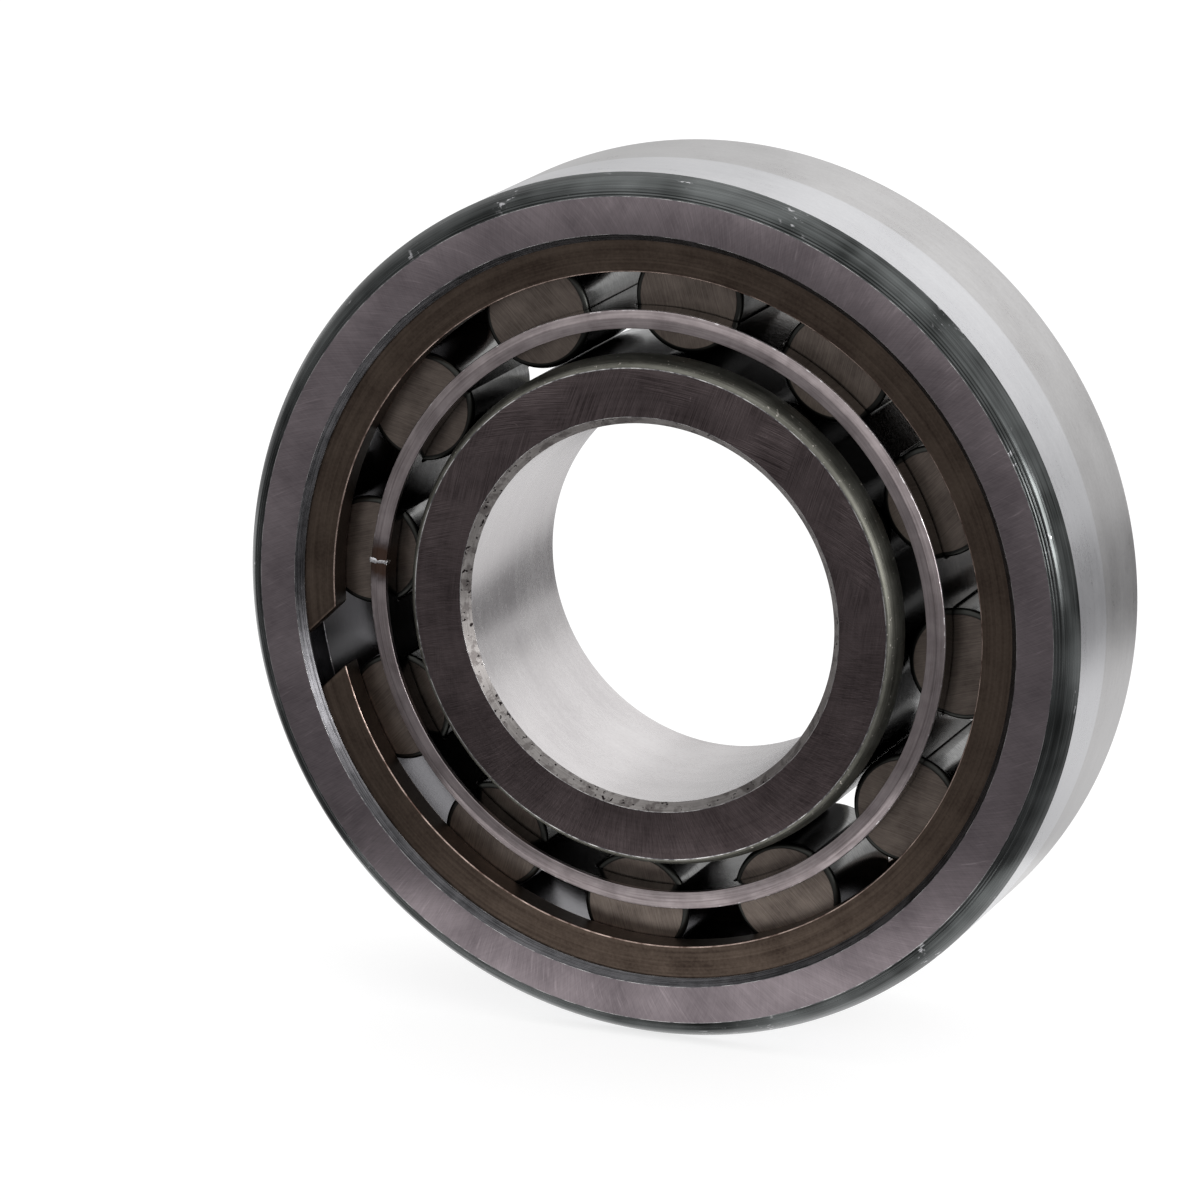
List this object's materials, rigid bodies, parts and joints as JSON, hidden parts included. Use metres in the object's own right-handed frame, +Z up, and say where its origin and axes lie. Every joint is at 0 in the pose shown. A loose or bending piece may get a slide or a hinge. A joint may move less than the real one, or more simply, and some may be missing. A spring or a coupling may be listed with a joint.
{
  "type": "cylindrical roller bearing",
  "caption": "Single-row cylindrical roller bearing with a plain separable inner ring, a window cage and split retaining rings in the outer ring.",
  "frame": {"origin": "centre of the bore at half the width", "axes": "+Y along the bearing's axis from the front face to the rear face, +Z up; the front face looks along -Y"},
  "size_m": [0.08, 0.021, 0.08],
  "materials": {
    "ring_steel": "ground bearing steel, bright on the bore and the outside, dark brushed on the side faces",
    "roller_steel": "ground bearing steel rollers with fine ground ends",
    "cage_steel": "pressed sheet steel, satin, with a welded seam",
    "retaining_steel": "dark brown tempered spring steel"
  },
  "bodies": {
    "outer_ring": {"outer_ring": "ring_steel", "front_retaining_ring": "retaining_steel", "rear_retaining_ring": "retaining_steel"},
    "inner_ring": {"inner_ring": "ring_steel"},
    "cage": {"cage": "cage_steel"},
    "roller_01": {"roller_01": "roller_steel"},
    "roller_02": {"roller_02": "roller_steel"},
    "roller_03": {"roller_03": "roller_steel"},
    "roller_04": {"roller_04": "roller_steel"},
    "roller_05": {"roller_05": "roller_steel"},
    "roller_06": {"roller_06": "roller_steel"},
    "roller_07": {"roller_07": "roller_steel"},
    "roller_08": {"roller_08": "roller_steel"},
    "roller_09": {"roller_09": "roller_steel"},
    "roller_10": {"roller_10": "roller_steel"},
    "roller_11": {"roller_11": "roller_steel"},
    "roller_12": {"roller_12": "roller_steel"}
  },
  "joints": [
    {"name": "inner_ring_spin", "type": "hinge", "parent": "outer_ring", "child": "inner_ring", "pos_m": [0, 0, 0], "axis": [0, 1, 0], "continuous": true},
    {"name": "cage_spin", "type": "hinge", "parent": "outer_ring", "child": "cage", "pos_m": [0, 0, 0], "axis": [0, 1, 0], "continuous": true},
    {"name": "roller_01_spin", "type": "hinge", "parent": "cage", "child": "roller_01", "pos_m": [0.02599, 0, 0.01217], "axis": [0, 1, 0], "continuous": true},
    {"name": "roller_02_spin", "type": "hinge", "parent": "cage", "child": "roller_02", "pos_m": [0.01642, 0, 0.02354], "axis": [0, 1, 0], "continuous": true},
    {"name": "roller_03_spin", "type": "hinge", "parent": "cage", "child": "roller_03", "pos_m": [0.00245, 0, 0.0286], "axis": [0, 1, 0], "continuous": true},
    {"name": "roller_04_spin", "type": "hinge", "parent": "cage", "child": "roller_04", "pos_m": [-0.01217, 0, 0.02599], "axis": [0, 1, 0], "continuous": true},
    {"name": "roller_05_spin", "type": "hinge", "parent": "cage", "child": "roller_05", "pos_m": [-0.02354, 0, 0.01642], "axis": [0, 1, 0], "continuous": true},
    {"name": "roller_06_spin", "type": "hinge", "parent": "cage", "child": "roller_06", "pos_m": [-0.0286, 0, 0.00245], "axis": [0, 1, 0], "continuous": true},
    {"name": "roller_07_spin", "type": "hinge", "parent": "cage", "child": "roller_07", "pos_m": [-0.02599, 0, -0.01217], "axis": [0, 1, 0], "continuous": true},
    {"name": "roller_08_spin", "type": "hinge", "parent": "cage", "child": "roller_08", "pos_m": [-0.01642, 0, -0.02354], "axis": [0, 1, 0], "continuous": true},
    {"name": "roller_09_spin", "type": "hinge", "parent": "cage", "child": "roller_09", "pos_m": [-0.00245, 0, -0.0286], "axis": [0, 1, 0], "continuous": true},
    {"name": "roller_10_spin", "type": "hinge", "parent": "cage", "child": "roller_10", "pos_m": [0.01217, 0, -0.02599], "axis": [0, 1, 0], "continuous": true},
    {"name": "roller_11_spin", "type": "hinge", "parent": "cage", "child": "roller_11", "pos_m": [0.02354, 0, -0.01642], "axis": [0, 1, 0], "continuous": true},
    {"name": "roller_12_spin", "type": "hinge", "parent": "cage", "child": "roller_12", "pos_m": [0.0286, 0, -0.00245], "axis": [0, 1, 0], "continuous": true}
  ],
  "couplings": [
    {"joint": "cage_spin", "follows": "inner_ring_spin", "ratio": 0.41115},
    {"joint": "roller_01_spin", "follows": "inner_ring_spin", "ratio": -2.7249},
    {"joint": "roller_02_spin", "follows": "inner_ring_spin", "ratio": -2.7249},
    {"joint": "roller_03_spin", "follows": "inner_ring_spin", "ratio": -2.7249},
    {"joint": "roller_04_spin", "follows": "inner_ring_spin", "ratio": -2.7249},
    {"joint": "roller_05_spin", "follows": "inner_ring_spin", "ratio": -2.7249},
    {"joint": "roller_06_spin", "follows": "inner_ring_spin", "ratio": -2.7249},
    {"joint": "roller_07_spin", "follows": "inner_ring_spin", "ratio": -2.7249},
    {"joint": "roller_08_spin", "follows": "inner_ring_spin", "ratio": -2.7249},
    {"joint": "roller_09_spin", "follows": "inner_ring_spin", "ratio": -2.7249},
    {"joint": "roller_10_spin", "follows": "inner_ring_spin", "ratio": -2.7249},
    {"joint": "roller_11_spin", "follows": "inner_ring_spin", "ratio": -2.7249},
    {"joint": "roller_12_spin", "follows": "inner_ring_spin", "ratio": -2.7249}
  ]
}
